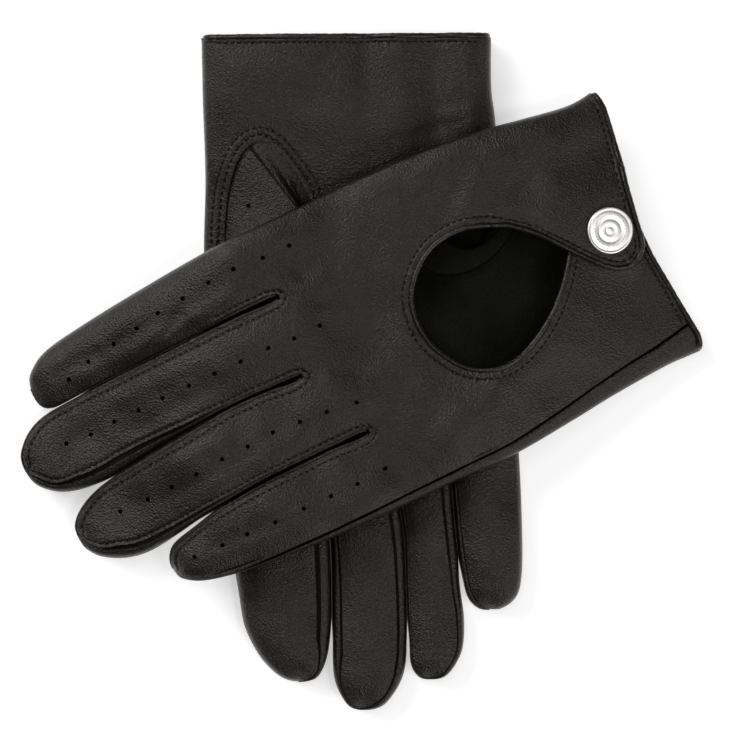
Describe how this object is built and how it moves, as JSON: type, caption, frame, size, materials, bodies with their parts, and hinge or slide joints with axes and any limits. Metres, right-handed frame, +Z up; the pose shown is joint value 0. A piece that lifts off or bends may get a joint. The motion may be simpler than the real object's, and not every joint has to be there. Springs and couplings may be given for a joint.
{
  "type": "leather driving gloves",
  "caption": "Pair of crossed unlined leather driving gloves with keyhole backs, snap tabs, fourchette fingers, bound edges and bending fingertips.",
  "frame": {"origin": "centre of the pair's bounding box, on the surface it lies on", "axes": "+Z up off the table, +Y towards the right glove's cuff, +X to the left glove's cuff side"},
  "size_m": [0.2232, 0.2206, 0.0276],
  "materials": {
    "back_leather": "satin nappa",
    "palm_leather": "satin pebbled nappa",
    "fourchette_leather": "satin nappa",
    "binding_leather": "satin nappa",
    "polished_nickel": "polished",
    "plated_steel": "satin"
  },
  "bodies": {
    "right_hand": {"right_back_panel": "back_leather", "right_cuff_binding": "binding_leather", "right_index_fourchette_inner_base": "fourchette_leather", "right_keyhole_binding": "binding_leather", "right_little_fourchette_outer_base": "fourchette_leather", "right_middle_fourchette_inner_base": "fourchette_leather", "right_middle_fourchette_outer_base": "fourchette_leather", "right_palm_panel": "palm_leather", "right_ring_fourchette_inner_base": "fourchette_leather", "right_ring_fourchette_outer_base": "fourchette_leather", "right_snap_eyelet": "plated_steel", "right_snap_stud": "plated_steel", "right_thumb": "palm_leather"},
    "right_tab": {"right_snap_tab": "back_leather", "right_tab_binding": "binding_leather", "right_snap_cap": "polished_nickel", "right_snap_socket": "plated_steel"},
    "right_index_finger": {"right_index_fourchette_inner_tip": "fourchette_leather", "right_index_tip": "back_leather"},
    "right_middle_finger": {"right_middle_fourchette_inner_tip": "fourchette_leather", "right_middle_fourchette_outer_tip": "fourchette_leather", "right_middle_tip": "back_leather"},
    "right_ring_finger": {"right_ring_fourchette_inner_tip": "fourchette_leather", "right_ring_fourchette_outer_tip": "fourchette_leather", "right_ring_tip": "back_leather"},
    "right_little_finger": {"right_little_fourchette_outer_tip": "fourchette_leather", "right_little_tip": "back_leather"},
    "left_hand": {"left_back_panel": "back_leather", "left_cuff_binding": "binding_leather", "left_index_fourchette_inner_base": "fourchette_leather", "left_keyhole_binding": "binding_leather", "left_little_fourchette_outer_base": "fourchette_leather", "left_middle_fourchette_inner_base": "fourchette_leather", "left_middle_fourchette_outer_base": "fourchette_leather", "left_palm_panel": "palm_leather", "left_ring_fourchette_inner_base": "fourchette_leather", "left_ring_fourchette_outer_base": "fourchette_leather", "left_snap_eyelet": "plated_steel", "left_snap_stud": "plated_steel", "left_thumb": "palm_leather"},
    "left_tab": {"left_snap_tab": "back_leather", "left_tab_binding": "binding_leather", "left_snap_cap": "polished_nickel", "left_snap_socket": "plated_steel"},
    "left_index_finger": {"left_index_fourchette_inner_tip": "fourchette_leather", "left_index_tip": "back_leather"},
    "left_middle_finger": {"left_middle_fourchette_inner_tip": "fourchette_leather", "left_middle_fourchette_outer_tip": "fourchette_leather", "left_middle_tip": "back_leather"},
    "left_ring_finger": {"left_ring_fourchette_inner_tip": "fourchette_leather", "left_ring_fourchette_outer_tip": "fourchette_leather", "left_ring_tip": "back_leather"},
    "left_little_finger": {"left_little_fourchette_outer_tip": "fourchette_leather", "left_little_tip": "back_leather"}
  },
  "joints": [
    {"name": "left_glove_lift", "type": "slide", "parent": "right_hand", "child": "left_hand", "axis": [0, 0, 1], "range_m": [0, 0.09]},
    {"name": "right_tab_hinge", "type": "hinge", "parent": "right_hand", "child": "right_tab", "pos_m": [-0.02421, 0.08321, 0.00397], "axis": [0, 0.9994, 0.0337], "range_deg": [0, 110]},
    {"name": "right_index_bend", "type": "hinge", "parent": "right_hand", "child": "right_index_finger", "pos_m": [-0.02483, -0.06929, 0.01185], "axis": [-1, 0, 0], "range_deg": [0, 70]},
    {"name": "right_middle_bend", "type": "hinge", "parent": "right_hand", "child": "right_middle_finger", "pos_m": [0.00273, -0.05879, 0.01185], "axis": [-1, 0, 0], "range_deg": [0, 70]},
    {"name": "right_ring_bend", "type": "hinge", "parent": "right_hand", "child": "right_ring_finger", "pos_m": [0.02223, -0.04879, 0.01185], "axis": [-1, 0, 0], "range_deg": [0, 70]},
    {"name": "right_little_bend", "type": "hinge", "parent": "right_hand", "child": "right_little_finger", "pos_m": [0.0417, -0.04179, 0.01185], "axis": [-1, 0, 0], "range_deg": [0, 70]},
    {"name": "left_tab_hinge", "type": "hinge", "parent": "left_hand", "child": "left_tab", "pos_m": [0.06401, 0.05712, 0.02113], "axis": [-0.8946, -0.4171, 0.1604], "range_deg": [0, 110]},
    {"name": "left_index_bend", "type": "hinge", "parent": "left_hand", "child": "left_index_finger", "pos_m": [-0.06325, 0.01887, 0.02218], "axis": [-0.4176, 0.8956, -0.1532], "range_deg": [0, 45]},
    {"name": "left_middle_bend", "type": "hinge", "parent": "left_hand", "child": "left_middle_finger", "pos_m": [-0.05827, -0.00601, 0.02387], "axis": [-0.4185, 0.8976, -0.1387], "range_deg": [0, 45]},
    {"name": "left_ring_bend", "type": "hinge", "parent": "left_hand", "child": "left_ring_finger", "pos_m": [-0.04191, -0.02688, 0.02741], "axis": [-0.4224, 0.9058, -0.0348], "range_deg": [0, 45]},
    {"name": "left_little_bend", "type": "hinge", "parent": "left_hand", "child": "left_little_finger", "pos_m": [-0.02475, -0.04712, 0.02785], "axis": [-0.4226, 0.9063, 0], "range_deg": [0, 45]}
  ]
}
